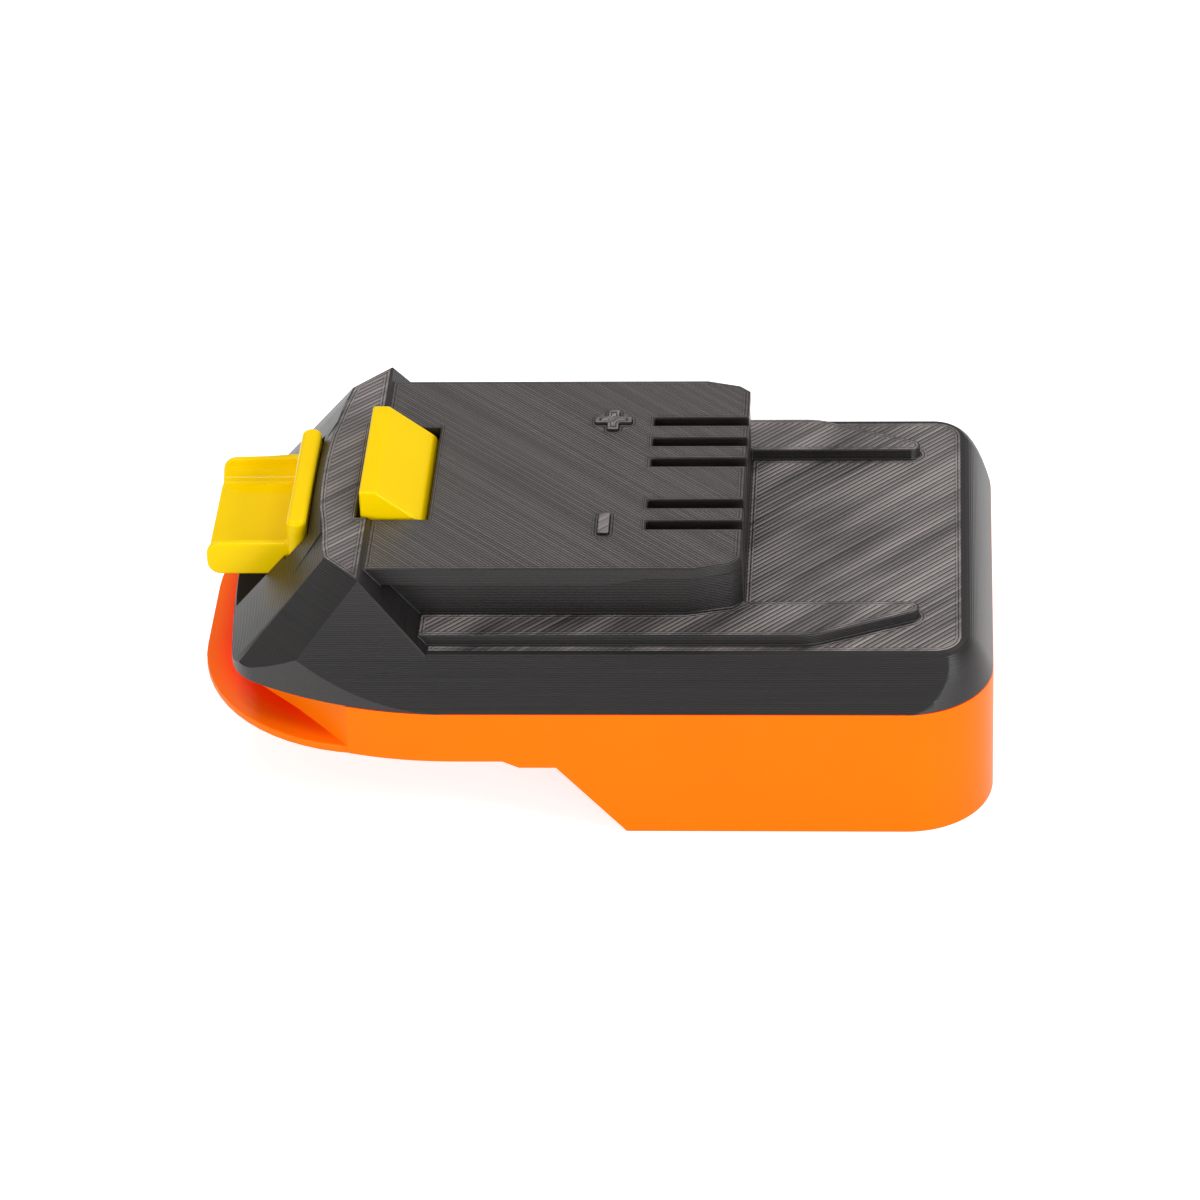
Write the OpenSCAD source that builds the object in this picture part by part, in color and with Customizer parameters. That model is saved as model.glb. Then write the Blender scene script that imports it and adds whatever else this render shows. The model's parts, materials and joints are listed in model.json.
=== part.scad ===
// Battery adapter for a cordless tool: a tool rail on top, a battery socket underneath.
// The origin is the middle of the outer box, on its lowest plane.
// +X points from the latch end to the square end, +Z points up.

/* [Body] */
// Length from the lip to the square end
body_length = 118.5; // [114:0.5:126]
// Width over the side walls
body_width = 74.4; // [72:0.2:80]
// Height of the seam between the two shells
seam_z = 21; // [20:0.5:24]
// Height of the sloping band from the seam up to the deck
band_height = 7.3; // [6.8:0.1:8.5]
// How far the top of the band stands in from the walls
band_inset = 5.2; // [4.4:0.1:5.8]
// Corner radius of the square end, in plan
corner_r = 12.8; // [10:0.2:15]
// Corner radius of the deck
deck_corner_r = 3.9; // [3:0.1:5]
// How far the deck stands in from the wall at the square end
end_inset = 4.7; // [4.2:0.1:5.4]
// How far the deck stands in from the walls along its sides
side_inset = 5.9; // [5.4:0.1:6.3]
// Angle of the rounding, from the level, at which the square end and its corners start above the seam
round_from = 50; // [40:1:60]
// Thickness of the walls
wall = 2.6; // [2.2:0.1:3]
// Thickness of the deck and of the roof of the rail
roof = 2.4; // [1.8:0.1:2.8]

/* [Latch end] */
// How far the lip stands out past the end of the top shell
lip_reach = 4.9; // [4:0.1:6]
// Height of the upright rim of the lip
lip_rim = 1.3; // [0.8:0.1:2]
// Width of the lip
lip_width = 70.6; // [66:0.2:71]
// Corner radius of the lip
lip_corner_r = 27.5; // [24:0.5:29]
// Distance from the end of the top shell to where the walls turn in under it
turn_setback = 19; // [17:0.1:21]
// Angle at which the walls turn in
turn_angle = 45; // [40:1:48]
// Radius of the bowed end
end_r = 247; // [200:1:300]
// Corner radius where the bowed end meets the sides
end_corner_r = 8; // [6:0.5:10]
// Radius of the sides where they sweep in
sweep_r = 57; // [54:1:62]
// Distance from the square end to the start of the sweep
sweep_from = 79.3; // [76:0.1:82]

/* [Tower] */
// Distance from the end of the top shell to the bowed edge of the crest
crest_setback = 13.6; // [13:0.1:14.2]
// Width of the crest at its middle
crest_width = 7.85; // [7.5:0.05:9]
// Length of the crest, across the body
crest_length = 60; // [56:0.5:62]
// Length of the bowed part of the crest
crest_bow_length = 48; // [42:0.5:50]
// Radius of the bowed edge of the crest
crest_r = 124; // [110:1:140]
// Step from the rail's top up to the crest
crest_step = 0.4; // [0.2:0.05:0.6]
// Steepness of the slopes before and behind the crest
tower_slope = 50; // [48:0.5:52]
// Steepness of the slopes at the crest's cut corners
corner_slope = 54; // [52:0.5:56]
// Lean of the tower's sides
side_lean = 12; // [9:0.5:13]

/* [Rail] */
// Width of the rail over its flanges
rail_width = 52.5; // [50:0.1:55]
// Height of the rail above the deck
rail_height = 10.9; // [10.2:0.1:12]
// Distance from the rail's front to the square end
rail_setback = 36.7; // [35:0.1:40]
// Thickness of the flanges
flange_t = 2.9; // [2.4:0.1:3.4]
// Thickness of the flanges at the front
flange_front_t = 1.9; // [1.5:0.1:2.3]
// Distance from the front over which the flanges are thin
flange_front_length = 13.6; // [10:0.1:16]
// Length of the ramp from the thin to the thick flange
flange_ramp = 5.8; // [4:0.1:8]
// How far the flanges overhang the neck
flange_overhang = 2.15; // [1.8:0.05:2.6]
// Length of the tapered lead-in at the front
lead_length = 6.6; // [5:0.1:8]
// How much each side draws in over the lead-in
lead_in = 1.5; // [1:0.1:1.8]
// Cut at the front corners
front_cut = 1.6; // [1:0.1:2]

/* [Guide ribs] */
// Height of the ribs above the deck
rib_height = 1.7; // [1.5:0.1:2.2]
// Distance between the inner edges of the two ribs
rib_gap = 41.6; // [40:0.2:43]
// Width of a rib
rib_width = 9.1; // [8.6:0.1:9.6]
// Distance from the end of the ribs to the square end
rib_setback = 10.9; // [9.5:0.1:13]
// Radius of the end of a rib
rib_end_r = 1.5; // [1.2:0.1:2]
// Angle at which a rib narrows towards its end
rib_angle = 23; // [18:1:28]
// Radius of the bend where a rib starts to narrow
rib_bend_r = 10; // [6:1:16]

/* [Contact slots] */
// Distance between neighbouring slot places
slot_pitch = 5.76; // [5.6:0.02:6]
// Width of a slot
slot_width = 2.15; // [1.8:0.05:2.4]
// Length of a slot from the rail's front
slot_length = 14.3; // [13:0.1:16]
// Height of the polarity signs above the rail
sign_height = 0.4; // [0.2:0.05:0.6]
// Length of a stroke of a sign
sign_length = 5.6; // [4.6:0.1:6]
// Width of a stroke of a sign
sign_stroke = 1.7; // [1.2:0.1:2.2]
// Distance from the slots' ends to the middle of the signs
sign_gap = 6.2; // [5:0.1:7]

/* [Release latch] */
// Travel of the latch when its pad is pressed
latch_travel = 4.6; // [4.4:0.05:4.8]
// Clearance of the latch in the top shell
slide_gap = 0.35; // [0.25:0.05:0.5]
// Height of the tooth above the rail's top
tooth_rise = 4.3; // [4:0.05:4.5]
// Width of the tooth
tooth_width = 24.5; // [23:0.1:25.5]
// Length of the tooth along the rail
tooth_length = 9.7; // [9.2:0.1:10.4]
// Length of the tooth's flat top
tooth_flat = 2.5; // [2:0.1:3]
// Slope of the tooth's ramp
tooth_ramp = 38; // [34:0.5:40]
// Radius of the foot of the tooth's ramp
tooth_toe_r = 2; // [1.4:0.1:2.4]
// Distance from the tooth's catch face to the crest's straight edge
tooth_setback = 1.25; // [1:0.05:1.5]
// Room around the back and sides of the tooth in its window
window_gap = 0.55; // [0.45:0.05:0.9]
// Thickness of the cross bar
bar_t = 3; // [2.6:0.1:3.4]
// Width of the cross bar
bar_width = 27; // [26:0.1:28]
// Distance from the crest's bowed edge to the bar
bar_setback = 1.5; // [1.2:0.05:1.8]
// Depth of the bar's top below the rail's top
bar_drop = 0.3; // [0.1:0.1:0.8]
// Rounding of the bar's top edge
bar_edge_r = 0.8; // [0.5:0.1:1.1]
// Width of the finger pad
pad_width = 24.6; // [23:0.1:25]
// Length of the finger pad from the bar
pad_length = 12.3; // [11.5:0.1:13]
// Depth of the pad's rims below the rail's top
pad_drop = 4.7; // [4.3:0.1:5.2]
// Height of the pad's rims
pad_height = 5.4; // [5:0.1:5.6]
// Depth of the pad's trough
trough_depth = 3; // [2.4:0.1:3.4]
// Width of a rim of the pad
rim_width = 1.1; // [0.9:0.1:1.6]
// Radius of the bottom corners of the trough
trough_r = 2.4; // [1.8:0.1:2.4]
// Radius of the outer end of a rim, seen from the side
rim_end_r = 2; // [1.4:0.1:2.3]
// Thickness of the web between the bar and the tooth
web_t = 3.8; // [3.4:0.1:4.2]
// Width of the web, which stops the latch at the top
web_width = 32; // [31:0.1:33]
// Depth of the web's underside below the pad's underside
web_drop = 3.1; // [2.8:0.1:3.3]
// Gap between the web and its upper stop
stop_gap = 0.2; // [0.15:0.05:0.3]
// Room left under the pad when it is fully pressed
pocket_spare = 1; // [0.7:0.05:1.2]

/* [Latch springs] */
// Outer diameter of a spring
spring_d = 6.4; // [5.8:0.1:6.6]
// Diameter of the spring wire
spring_wire = 0.7; // [0.6:0.05:0.9]
// Number of turns
spring_turns = 7; // [5:1:7]
// Distance between the two springs
spring_spacing = 13; // [12:0.5:14]
// Depth of a spring in the tooth, from the web's underside
spring_depth = 5; // [4:0.1:6]
// Clearance around a spring in the tooth
spring_gap = 0.5; // [0.4:0.05:0.6]
// Diameter of the pegs that the springs stand on
peg_d = 3.8; // [3:0.1:4]
// Height of the pegs
peg_height = 3; // [2:0.1:4]

/* [Battery socket] */
// Height of the socket's roof above the lowest plane
socket_z = 12.5; // [12:0.1:13]
// Thickness of the floor between the socket and the wiring space
floor_t = 2.5; // [2:0.1:3]
// Distance from the square end to the foot of the walls' sloping edge
skirt_length = 54; // [50:0.5:58]
// Angle of the walls' sloping edge
skirt_slope = 48.6; // [44:0.1:52]
// Length of the small step before the sloping edge
skirt_step_length = 7.8; // [6:0.1:9]
// Length of the ramp into the small step
skirt_step_ramp = 2.4; // [1.5:0.1:3.5]
// Depth of the small step
skirt_step = 1.1; // [0.8:0.1:1.4]
// Thickness of the socket's side walls
socket_wall = 8.2; // [7:0.1:9]
// Thickness of the socket's end wall
socket_end_wall = 9; // [8:0.1:10]
// Corner radius of the closed end of the socket
socket_corner_r = 6; // [4:0.5:8]
// Width of the ledges that carry the battery
ledge_width = 4.6; // [4.2:0.1:5]
// Height of the ledges
ledge_height = 3; // [2.4:0.1:3.6]
// Distance from the end of the top shell to the catch for the battery's own latch
catch_setback = 4.4; // [4:0.1:5]
// Length of the catch
catch_length = 7.5; // [7:0.1:8]
// Width of the catch
catch_width = 28; // [24:0.5:30]
// Depth of the catch
catch_depth = 4.6; // [4.4:0.1:4.8]

/* [Contacts] */
// Thickness of the clips' sheet metal
clip_t = 0.6; // [0.5:0.05:0.7]
// Width of a clip
clip_width = 3.8; // [3.4:0.1:4]
// Height of a clip's jaws
jaw_height = 5.8; // [5:0.1:6]
// Gap between a clip's jaws where they pinch
jaw_gap = 0.6; // [0.4:0.05:0.9]
// How far the jaws flare at their mouth
jaw_flare = 0.9; // [0.6:0.05:1]
// Length of the flared mouth
jaw_flare_length = 3.5; // [3:0.1:4]
// Length of a clip's straight part
clip_base_length = 9; // [8:0.1:10]
// Distance from a clip's tail to the end of its slot
clip_setback = 9; // [8:0.1:10]
// Distance from the rail's front to the clips' mouths
clip_tip_setback = 3.4; // [3:0.1:4]
// Thickness of the carrier plate
carrier_t = 3; // [2.6:0.1:3.4]
// Width of the carrier plate
carrier_width = 41; // [38:0.2:42]
// Height of the carrier's top above the deck
carrier_rise = 1.6; // [1.2:0.1:1.8]
// Margin between the carrier and the ends of its room
carrier_margin = 1.6; // [1:0.1:2]
// Distance between the carrier's rear screws
carrier_screw_spacing = 24; // [22:0.5:26]
// Clearance around contacts in their plastic
contact_gap = 0.1; // [0.05:0.05:0.2]
// Thickness of the blades
blade_t = 0.8; // [0.6:0.05:1]
// Height of the blades
blade_height = 6; // [5:0.1:6.4]
// Free length of the blades
blade_length = 18; // [14:0.5:20]
// Distance between neighbouring blades
blade_pitch = 12; // [11:0.2:13]
// Height of the blades above the lowest plane
blade_z = 4.4; // [4:0.1:4.8]
// Length of the slanted nose of a blade
blade_nose = 1; // [0.6:0.1:1.4]
// Length of the tails that the wires meet
blade_tail_length = 4; // [3:0.1:4.4]
// Length of the blade holder
holder_length = 12.4; // [11:0.1:13]
// Width of the blade holder's body
holder_width = 34; // [32:0.2:36]
// Width of the holder's flange beside its body
holder_flange = 8; // [7.5:0.1:8.4]
// Thickness of the holder's flange
holder_flange_t = 2.5; // [2:0.1:3]
// Plastic around the blades in their holder
holder_wall = 2.4; // [2:0.1:3]
// Gap between the holder and the socket's end wall
holder_setback = 0.6; // [0.3:0.1:1]

/* [Wires] */
// Diameter of the power wires
power_wire_d = 3.2; // [2.6:0.1:3.4]
// Diameter of the signal wire
signal_wire_d = 1.6; // [1.2:0.1:2]
// Sideways bow of the wires, as slack
wire_slack = 1; // [0.5:0.1:1.4]
// Room beside a wire where it meets a contact
wire_margin = 0.6; // [0.5:0.05:0.8]

/* [Fasteners] */
// Diameter of the shell screws
screw_d = 3; // [2.6:0.1:3.2]
// Length of the shell screws under the head
screw_length = 11; // [10:0.5:11.5]
// Diameter of the shell screws' heads
screw_head_d = 5.6; // [5:0.1:5.8]
// Height of the screw heads
screw_head_h = 2.2; // [1.8:0.1:2.4]
// Clearance around the screws
screw_gap = 0.2; // [0.1:0.05:0.3]
// Clearance of a screw in its thread
thread_gap = 0.05; // [0.03:0.01:0.08]
// Outer diameter of the threaded inserts
insert_d = 4.6; // [4.4:0.1:5]
// Length of the threaded inserts
insert_length = 5; // [4:0.1:5.4]
// Clearance of the inserts in their posts
insert_gap = 0.05; // [0.03:0.01:0.08]
// Diameter of the screw posts
post_d = 8.4; // [8.2:0.1:9]
// Distance from the square end to the front pair of posts
front_post_setback = 28.2; // [27.8:0.1:30]
// Distance from the end of the top shell to the rear pair of posts
rear_post_setback = 38; // [37:0.1:42]
// Distance between the front posts
front_post_spacing = 42; // [41.6:0.1:42.4]
// Distance between the rear posts
rear_post_spacing = 57; // [55:0.2:59]
// Diameter of the small screws
small_screw_d = 2.2; // [2:0.1:2.4]
// Diameter of the small screws' heads
small_head_d = 4.2; // [3.8:0.1:4.4]
// Height of the small screws' heads
small_head_h = 1.5; // [1.2:0.1:1.6]
// How far the small screws reach into the plastic
small_grip = 5; // [4:0.1:5.4]
// Diameter of the posts for the small screws
small_post_d = 5; // [4.6:0.1:5.2]

/* [Hidden] */
$fn = 64;
// Overlap that keeps cuts and joins clean
eps = 0.01;
// How far a cut runs past the face that it opens
cut = 1;

// Main planes
right_x = body_length / 2;
lip_x = -body_length / 2;
end_x = lip_x + lip_reach;
half_y = body_width / 2;
deck_z = seam_z + band_height;
rail_z = deck_z + rail_height;
crest_z = rail_z + crest_step;
rib_z = deck_z + rib_height;
floor_z = socket_z + floor_t;
sweep_x = right_x - sweep_from;
turn_x = end_x + turn_setback;
socket_half = half_y - socket_wall;
socket_end = right_x - socket_end_wall;
skirt_foot = right_x - skirt_length;

// Rail
rail_front = right_x - rail_setback;
rail_half = rail_width / 2;
neck_half = rail_half - flange_overhang;

// Tower
crest_bow_x = end_x + crest_setback;
crest_x = crest_bow_x + crest_width;
crest_corner_y = crest_bow_length / 2;
crest_corner_x = crest_bow_x + crest_r - sqrt(crest_r * crest_r - crest_corner_y * crest_corner_y);

// Release latch
tooth_x = crest_x - tooth_setback;
tooth_end = tooth_x + tooth_length;
tooth_z = rail_z + tooth_rise;
bar_end = crest_bow_x - bar_setback;
bar_x = bar_end - bar_t;
bar_z = rail_z - bar_drop;
pad_x = bar_x - pad_length;
pad_z = rail_z - pad_drop;
pad_low = pad_z - pad_height;
web_low = pad_low - web_drop;
web_z = web_low + web_t;
bay_z = web_z + stop_gap;
pocket_z = pad_low - latch_travel - pocket_spare;
spring_x = (tooth_x + tooth_end) / 2;
spring_top = web_low + spring_depth;

// Wiring space
cavity_x = tooth_end + slide_gap + wall;
cavity_half = half_y - band_inset - wall / 2;
cavity_end = right_x - band_inset - wall / 2;
rail_room_half = neck_half - roof;
rail_room_end = rail_front - roof;
rail_room_z = rail_z - roof;

// Contact places, in slot pitches from the middle
slot_places = [2.5, 1.5, 0.5, -1.5, -2.5];
positive_y = slot_places[0] * slot_pitch;
signal_y = slot_places[2] * slot_pitch;
negative_y = slot_places[4] * slot_pitch;
blade_places = [-blade_pitch, 0, blade_pitch];

// Clips and carrier
slot_end = rail_front - slot_length;
clip_x = slot_end - clip_setback;
clip_tip = rail_front - clip_tip_setback;
carrier_z = deck_z + carrier_rise;
carrier_low = carrier_z - carrier_t;
carrier_x = cavity_x + carrier_margin;
carrier_end = rail_room_end - carrier_margin;
clip_tail_width = power_wire_d;
clip_wire_z = carrier_low - power_wire_d / 2 - wire_margin;
clip_tail_low = clip_wire_z - power_wire_d / 2 - wire_margin;

// Blades and holder
holder_end = socket_end - holder_setback;
holder_x = holder_end - holder_length;
holder_low = blade_z - holder_wall;
holder_z = floor_z + holder_flange_t;
blade_tip = holder_x - blade_length;
blade_tail_x = holder_x + holder_wall;
blade_tail_end = blade_tail_x + blade_tail_length;
blade_wire_z = holder_z + power_wire_d / 2 + wire_margin;
blade_tail_z = blade_wire_z + power_wire_d / 2 + wire_margin;

// Screws
shell_posts = [
    for (s = [-1, 1]) [right_x - front_post_setback, s * front_post_spacing / 2],
    for (s = [-1, 1]) [end_x + rear_post_setback, s * rear_post_spacing / 2]
];
head_seat_z = socket_z + screw_head_h + screw_gap;
screw_room_z = head_seat_z + screw_length + screw_gap;
catch_z = socket_z + catch_depth;
small_room = small_grip + screw_gap;
carrier_screw_x = carrier_x + small_post_d / 2 + screw_gap;
carrier_places = [
    [carrier_screw_x, carrier_screw_spacing / 2],
    [carrier_screw_x, -carrier_screw_spacing / 2],
    [carrier_end - small_post_d / 2 - screw_gap, -slot_pitch / 2]
];
holder_places = [for (s = [-1, 1]) [(holder_x + holder_end) / 2, s * (holder_width + holder_flange) / 2]];

// Points along an arc of n steps, with its two ends or without them
function arc(c, r, a0, a1, n, skip = 0) = [
    for (i = [skip:n - skip]) let(a = a0 + (a1 - a0) * i / n) c + r * [cos(a), sin(a)]
];
// Bearing from one point to another
function bearing(a, b) = atan2(b.y - a.y, b.x - a.x);
// Where two circles cross, to the left of the line between their middles
function crossing(a, ra, b, rb) = let(
    d = norm(b - a),
    along = (d * d + ra * ra - rb * rb) / (2 * d),
    side = sqrt(ra * ra - along * along),
    e = (b - a) / d
) a + along * e + side * [-e.y, e.x];
function mirrored(points) = [for (i = [len(points) - 1:-1:0]) [points[i].x, -points[i].y]];

// Half of the walls' outline, drawn in by t: square end, swept side, round corner and bowed end
function half_outline(t) = let(
    corner = [right_x - corner_r, half_y - corner_r],
    sweep = [sweep_x, half_y - sweep_r],
    bow = [end_x + end_r, 0],
    round = crossing(sweep, sweep_r - end_corner_r, bow, end_r - end_corner_r),
    to_sweep = bearing(sweep, round),
    to_bow = bearing(bow, round)
) concat(
    arc(corner, corner_r - t, 0, 90, 20),
    arc(sweep, sweep_r - t, 90, to_sweep, 16),
    arc(round, end_corner_r - t, to_sweep, to_bow, 12, 1),
    arc(bow, end_r - t, to_bow, 180, 5)
);
function outline(t) = let(half = half_outline(t), other = mirrored(half))
    concat(half, [for (i = [1:len(other) - 1]) other[i]]);

// A block of the walls' plan
module plan_block(z0, z1, inset = 0) {
    translate([0, 0, z0]) linear_extrude(z1 - z0) polygon(outline(inset));
}

// A side profile in X and Z, carried across the body
module across(width) {
    translate([0, width / 2, 0]) rotate([90, 0, 0]) linear_extrude(width) children();
}

// A box given by its two corners
module box(low, high) {
    translate(low) cube(high - low);
}

module at_each(places, z) {
    for (p = places) translate([p.x, p.y, z]) children();
}

// Plan of the square end and its two round corners
module end_plan(half, end, r) {
    near = arc([end - r, r - half], r, -90, 0, 20);
    polygon(concat([[lip_x, half], [lip_x, -half]], near, mirrored(near)));
}

// Rounding of the square end: shares of the way in, with their heights, from the seam up
function end_rounding() = let(steps = 8) [
    for (i = [0:steps]) let(a = round_from + (90 - round_from) * i / steps) [
        1 - cos(a) / cos(round_from),
        seam_z + band_height * (sin(a) - sin(round_from)) / (1 - sin(round_from))
    ]
];

// Cross-section of the deck: a flat sloping band on both sides
module band_profile() {
    low = seam_z - cut;
    half = half_y - band_inset;
    polygon([
        [-half_y, low], [half_y, low], [half_y, seam_z], [half, deck_z], [-half, deck_z], [-half_y, seam_z]
    ]);
}

// Deck with a rounded square end, and with the sloping bands cut along its sides
module deck_block() {
    intersection() {
        plan_block(seam_z, deck_z);
        translate([lip_x, 0, 0]) rotate([90, 0, 90]) linear_extrude(body_length + cut) band_profile();
        hull() for (p = end_rounding())
            translate([0, 0, p.y - eps]) linear_extrude(eps) end_plan(
                half_y - side_inset * p.x, right_x - end_inset * p.x,
                corner_r + (deck_corner_r - corner_r) * p.x
            );
    }
}

// Faces of the tower at a height, drawn in by t
function tower_front(z, t) = crest_x + (crest_z - z) / tan(tower_slope) - t / sin(tower_slope);
function tower_side(z, t) = crest_length / 2 + (crest_z - z) * tan(side_lean) - t / cos(side_lean);

// Tower that holds the latch, drawn in by t, before its end slopes are cut
module tower_block(low, t) {
    top = crest_z - t;
    foot = tower_side(low, t);
    head = tower_side(top, t);
    front = tower_front(deck_z, t);
    intersection() {
        plan_block(low, top, t);
        across(body_width) polygon([
            [lip_x, low], [lip_x, top], [tower_front(top, t), top], [front, deck_z], [front, low]
        ]);
        translate([lip_x, 0, 0]) rotate([90, 0, 90]) linear_extrude(body_length)
            polygon([[-foot, low], [-head, top], [head, top], [foot, low]]);
    }
}

// Cone whose surface is the bowed slope at the latch end, carried on above the signs
module bowed_slope(low, t) {
    drop = crest_z - low;
    past = sign_height + cut;
    run = 1 / tan(tower_slope);
    r = crest_r - t / sin(tower_slope);
    translate([crest_bow_x + crest_r, 0, low])
        cylinder(h = drop + past, r1 = r + drop * run, r2 = r - past * run, $fn = 256);
}

// Everything above the slope at one cut corner of the crest
module corner_slope_cut(side, t) {
    tip = [crest_x, side * crest_length / 2];
    corner = [crest_corner_x, side * crest_corner_y];
    turn = side < 0 ? bearing(tip, corner) : bearing(corner, tip);
    translate([tip.x, tip.y, crest_z]) rotate([0, 0, turn]) rotate([-corner_slope, 0, 0])
        translate([-body_width, -band_height, -t]) cube([2 * body_width, body_width, body_width / 2]);
}

// Hollows in the tower on both sides of the latch
module tower_rooms() {
    low = seam_z - cut;
    inner = web_width / 2 + slide_gap + wall;
    difference() {
        intersection() {
            tower_block(low, wall);
            bowed_slope(low, wall);
        }
        corner_slope_cut(-1, wall);
        corner_slope_cut(1, wall);
        box([lip_x, -inner, low - cut], [right_x, inner, crest_z]);
        corner_recess(low - cut, crest_z, wall);
    }
}

module rail_plan(half, lead) {
    step = rail_front - front_cut;
    start = rail_front - lead;
    polygon([
        [crest_x, -half], [start, -half], [step, lead_in - half], [rail_front, lead_in + front_cut - half],
        [rail_front, half - lead_in - front_cut], [step, half - lead_in], [start, half], [crest_x, half]
    ]);
}

module rail_block() {
    thin = rail_front - flange_front_length;
    translate([0, 0, seam_z]) linear_extrude(rail_z - flange_front_t - seam_z)
        rail_plan(neck_half, lead_length + front_cut);
    intersection() {
        translate([0, 0, deck_z]) linear_extrude(rail_height) rail_plan(rail_half, lead_length);
        across(body_width) polygon([
            [crest_x, rail_z - flange_t], [thin - flange_ramp, rail_z - flange_t],
            [thin, rail_z - flange_front_t], [right_x, rail_z - flange_front_t],
            [right_x, rail_z], [crest_x, rail_z]
        ]);
    }
}

// Guide rib on the far side: straight inner edge, round end, outer edge that bends inwards
module guide_rib() {
    inner = rib_gap / 2;
    outer = inner + rib_width;
    cap = [right_x - rib_setback - rib_end_r, inner + rib_end_r];
    touch = cap + rib_end_r * [sin(rib_angle), cos(rib_angle)];
    knee = touch.x - (outer - touch.y) / tan(rib_angle);
    bend = [knee - rib_bend_r * tan(rib_angle / 2), outer - rib_bend_r];
    translate([0, 0, seam_z]) linear_extrude(rib_z - seam_z) polygon(concat(
        [[crest_x, inner]],
        arc(cap, rib_end_r, -90, 90 - rib_angle, 12),
        arc(bend, rib_bend_r, 90 - rib_angle, 90, 8),
        [[crest_x, outer]]
    ));
}

module polarity_signs() {
    x = slot_end - sign_gap;
    size = [sign_stroke, sign_length, 2 * sign_height];
    for (turn = [0, 90]) translate([x, positive_y, rail_z]) rotate(turn) cube(size, center = true);
    translate([x, negative_y, rail_z]) cube(size, center = true);
}

// Space that the latch moves in
module latch_room() {
    bar_half = bar_width / 2 + slide_gap;
    pad_half = pad_width / 2 + slide_gap;
    web_half = web_width / 2 + slide_gap;
    window_half = tooth_width / 2 + window_gap;
    top = tooth_z + eps;
    box([bar_x - slide_gap, -web_half, seam_z - eps], [tooth_end + slide_gap, web_half, bay_z]);
    box([bar_x - slide_gap, -bar_half, pocket_z], [bar_end + slide_gap, bar_half, top]);
    box([lip_x, -pad_half, pocket_z], [bar_x, pad_half, top]);
    box([tooth_x - window_gap, -window_half, web_low], [tooth_end + slide_gap, window_half, top]);
}

// Space for the wiring and the contacts, with its posts left standing
module wiring_room() {
    difference() {
        union() {
            box([cavity_x, -cavity_half, seam_z - eps], [cavity_end, cavity_half, deck_z - roof]);
            box([cavity_x, -rail_room_half, seam_z], [rail_room_end, rail_room_half, rail_room_z]);
        }
        at_each(shell_posts, seam_z - cut) cylinder(d = post_d, h = rail_height);
        at_each(carrier_places, carrier_z) cylinder(d = small_post_d, h = rail_height);
    }
}

module contact_slots() {
    for (p = slot_places)
        box(
            [slot_end, p * slot_pitch - slot_width / 2, carrier_z],
            [rail_front + cut, p * slot_pitch + slot_width / 2, rail_z + cut]
        );
}

module top_shell() {
    color("#2b2a2a") difference() {
        intersection() {
            union() {
                deck_block();
                tower_block(seam_z, 0);
                rail_block();
                guide_rib();
                mirror([0, 1, 0]) guide_rib();
                polarity_signs();
            }
            bowed_slope(seam_z, 0);
        }
        corner_slope_cut(-1, 0);
        corner_slope_cut(1, 0);
        tower_rooms();
        latch_room();
        wiring_room();
        contact_slots();
        at_each(shell_posts, seam_z - cut)
            cylinder(d = insert_d + 2 * insert_gap, h = insert_length + cut);
        at_each(shell_posts, seam_z) cylinder(d = screw_d + 2 * screw_gap, h = screw_room_z - seam_z);
        at_each(carrier_places, carrier_z - cut)
            cylinder(d = small_screw_d + 2 * thread_gap, h = small_room + cut);
    }
}

// Space under the top shell at the two corners of the latch end, where the walls turn in, grown by a wall
module corner_recess(low, high, grow = 0) {
    side_y = half_y - sweep_r + sqrt(sweep_r * sweep_r - (turn_x - sweep_x) * (turn_x - sweep_x));
    start = [turn_x + grow, side_y - grow / cos(turn_angle) + grow * tan(turn_angle)];
    far_x = lip_x - cut;
    far_y = start.y - (start.x - far_x) * tan(turn_angle);
    out_y = half_y + cut;
    for (s = [0, 1]) mirror([0, s, 0]) translate([0, 0, low]) linear_extrude(high - low)
        polygon([start, [start.x, out_y], [far_x, out_y], [far_x, far_y]]);
}

// Side view of the bottom shell: shallow at the latch end, deep at the square end
module skirt_profile() {
    step_z = socket_z - skirt_step;
    knee = skirt_foot - step_z / tan(skirt_slope);
    start = knee - skirt_step_length;
    polygon([
        [lip_x, socket_z], [start, socket_z], [start + skirt_step_ramp, step_z], [knee, step_z],
        [skirt_foot, 0], [right_x, 0], [right_x, seam_z], [lip_x, seam_z]
    ]);
}

// Lip at the latch end: an upright rim, then a slope up to the floor
module lip_block() {
    y = lip_width / 2 - lip_corner_r;
    x = lip_x + lip_corner_r;
    rim_z = socket_z + lip_rim;
    hull() for (s = [-1, 1]) {
        translate([x, s * y, socket_z]) cylinder(r = lip_corner_r, h = lip_rim);
        translate([x, s * y, rim_z])
            cylinder(r1 = lip_corner_r, r2 = lip_corner_r - lip_reach, h = floor_z - rim_z);
    }
}

// Space that the battery slides into
module socket_room() {
    r = socket_corner_r;
    near = arc([socket_end - r, r - socket_half], r, -90, 0, 12);
    translate([0, 0, -cut]) linear_extrude(socket_z + cut)
        polygon(concat([[lip_x, socket_half], [lip_x, -socket_half]], near, mirrored(near)));
}

// Ledge along one side of the socket, which the battery's own rail slides over
module ledge() {
    start = skirt_foot + ledge_height / tan(skirt_slope);
    inner = socket_half - ledge_width;
    box([start, inner, 0], [socket_end - socket_corner_r, socket_half + eps, ledge_height]);
}

module holder_window(gap) {
    half = holder_width / 2 + gap;
    box([holder_x - gap, -half, socket_z - cut], [holder_end + gap, half, floor_z + cut]);
}

// Recess for the battery's own latch, or the block around it where it is grown by a wall
module catch_box(grow, low, high) {
    x = end_x + catch_setback;
    half = catch_width / 2 + grow;
    box([x - grow, -half, low], [x + catch_length + grow, half, high]);
}

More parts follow.
